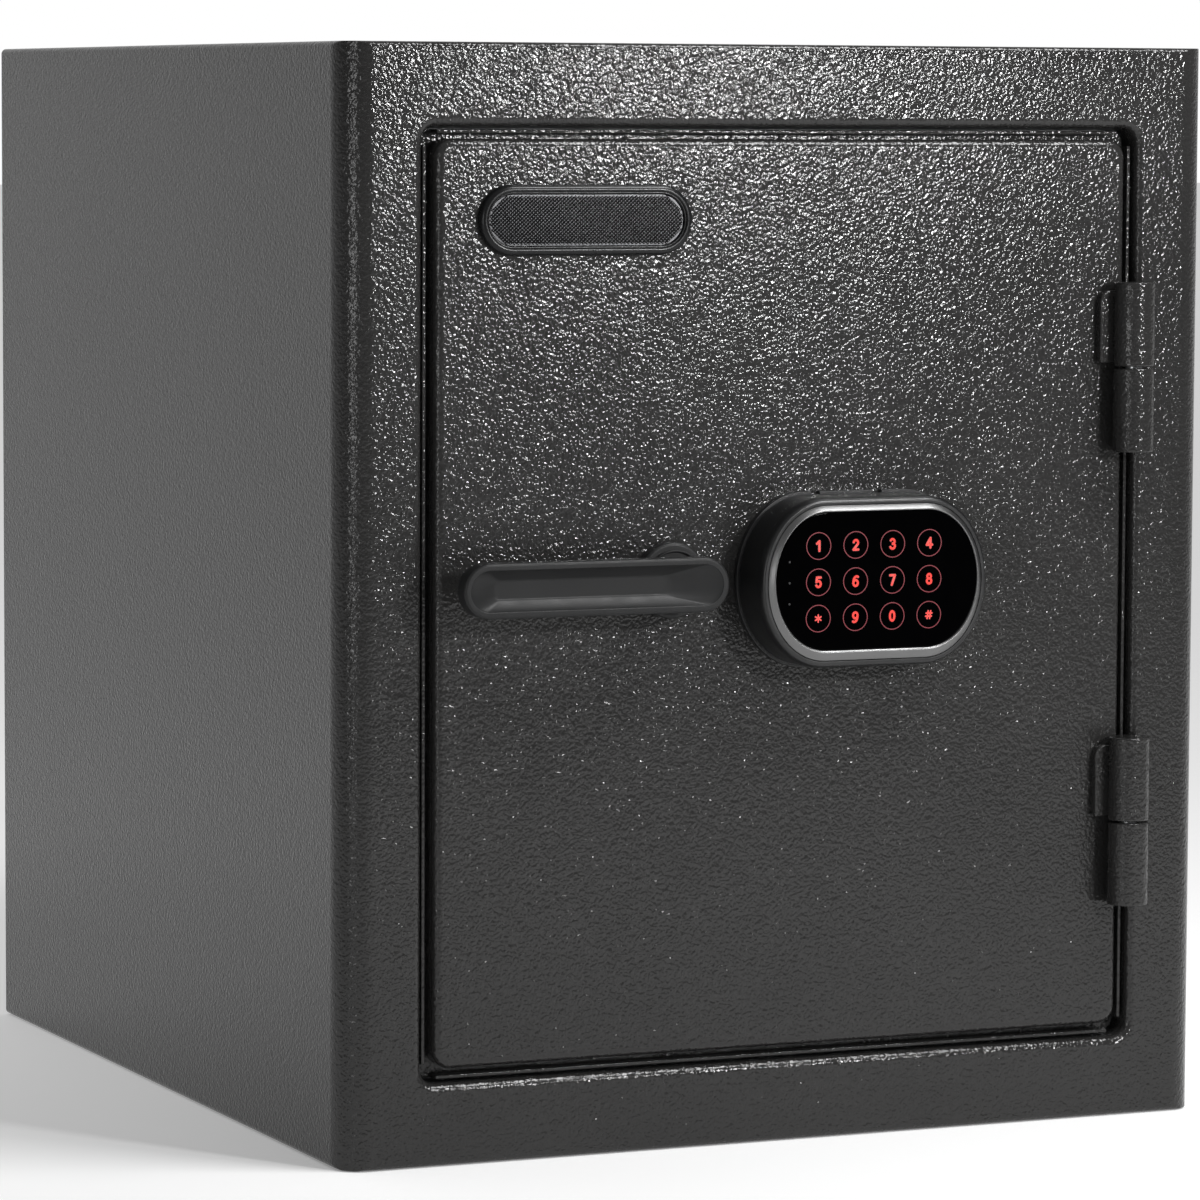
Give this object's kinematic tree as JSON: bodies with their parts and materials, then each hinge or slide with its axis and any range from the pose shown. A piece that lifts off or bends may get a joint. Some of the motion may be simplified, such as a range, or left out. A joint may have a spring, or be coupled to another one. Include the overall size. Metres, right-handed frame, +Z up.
{
  "type": "safe",
  "caption": "Fire-resistant box safe with a hinged door, a touch keypad, a lever handle, sliding bolts and a shelved compartment.",
  "frame": {"origin": "centre of the cabinet's underside, on the floor", "axes": "+X to the hinge side, the right when facing the door; the door faces -Y; +Z up"},
  "size_m": [0.434, 0.5159, 0.5],
  "materials": {
    "body_paint": "satin",
    "inner_paint": "satin",
    "fire_filling": "matte",
    "plain_steel": "satin",
    "bright_steel": "polished",
    "seal_rubber": "matte",
    "mat_fabric": "matte",
    "black_plastic": "satin",
    "handle_plastic": "satin",
    "bezel_plastic": "satin",
    "badge_metal": "satin",
    "black_glass": "gloss",
    "circuit_board": "satin",
    "battery_jacket": "satin"
  },
  "bodies": {
    "cabinet": {"cabinet_shell": "body_paint", "back_panel": "body_paint", "cabinet_insulation": "fire_filling", "door_frame": "inner_paint", "door_seal": "seal_rubber", "inner_liner": "inner_paint", "floor_mat": "mat_fabric", "shelf": "inner_paint", "shelf_clip_left_front": "plain_steel", "shelf_clip_left_rear": "plain_steel", "shelf_clip_right_front": "plain_steel", "shelf_clip_right_rear": "plain_steel", "anchor_plug_1": "seal_rubber", "anchor_plug_2": "seal_rubber", "hinge_upper_cabinet_knuckle": "body_paint", "hinge_lower_cabinet_knuckle": "body_paint", "hinge_upper_pin": "plain_steel", "hinge_lower_pin": "plain_steel"},
    "door": {"hinge_upper_door_knuckle": "body_paint", "hinge_lower_door_knuckle": "body_paint", "door_front_pan": "body_paint", "door_fire_board": "fire_filling", "door_back_pan": "body_paint", "door_plug_casing": "inner_paint", "door_plug_insulation": "fire_filling", "door_inner_cover": "inner_paint", "battery_box": "black_plastic", "battery_lid": "black_plastic", "battery_cell_1": "battery_jacket", "battery_cell_2": "battery_jacket", "battery_cell_3": "battery_jacket", "battery_cell_4": "battery_jacket", "lock_controller": "black_plastic", "bolt_guide_1": "plain_steel", "bolt_guide_2": "plain_steel", "bolt_guide_3": "plain_steel", "fixed_bolt_1": "bright_steel", "fixed_bolt_2": "bright_steel", "solenoid_body": "plain_steel", "handle_rosette": "handle_plastic", "keypad_base": "black_plastic", "keypad_housing": "handle_plastic", "keypad_bezel": "bezel_plastic", "keypad_glass": "black_glass", "keypad_board": "circuit_board", "keypad_cable": "black_plastic", "badge_bezel": "bezel_plastic", "badge_plate": "badge_metal"},
    "handle": {"handle_lever": "handle_plastic", "handle_collar": "handle_plastic", "handle_spindle": "plain_steel", "drive_crank": "plain_steel", "spindle_nut": "plain_steel"},
    "bolt_work": {"bolt_carriage": "plain_steel", "live_bolt_1": "bright_steel", "live_bolt_2": "bright_steel", "live_bolt_3": "bright_steel"},
    "lock_plunger": {"solenoid_plunger": "bright_steel"}
  },
  "joints": [
    {"name": "door_swing", "type": "hinge", "parent": "cabinet", "child": "door", "pos_m": [0.173, -0.2515, 0.25], "axis": [0, 0, 1], "range_deg": [0, 170]},
    {"name": "handle_turn", "type": "hinge", "parent": "door", "child": "handle", "pos_m": [-0.0594, -0.242, 0.2596], "axis": [0, -1, 0], "range_deg": [0, 60]},
    {"name": "bolt_throw", "type": "slide", "parent": "door", "child": "bolt_work", "axis": [-1, 0, 0], "range_m": [0, 0.017]},
    {"name": "plunger_slide", "type": "slide", "parent": "door", "child": "lock_plunger", "axis": [0, 0, -1], "range_m": [0, 0.006]}
  ],
  "couplings": [
    {"joint": "handle_turn", "follows": "bolt_throw", "rad_per_m": 61.59}
  ]
}
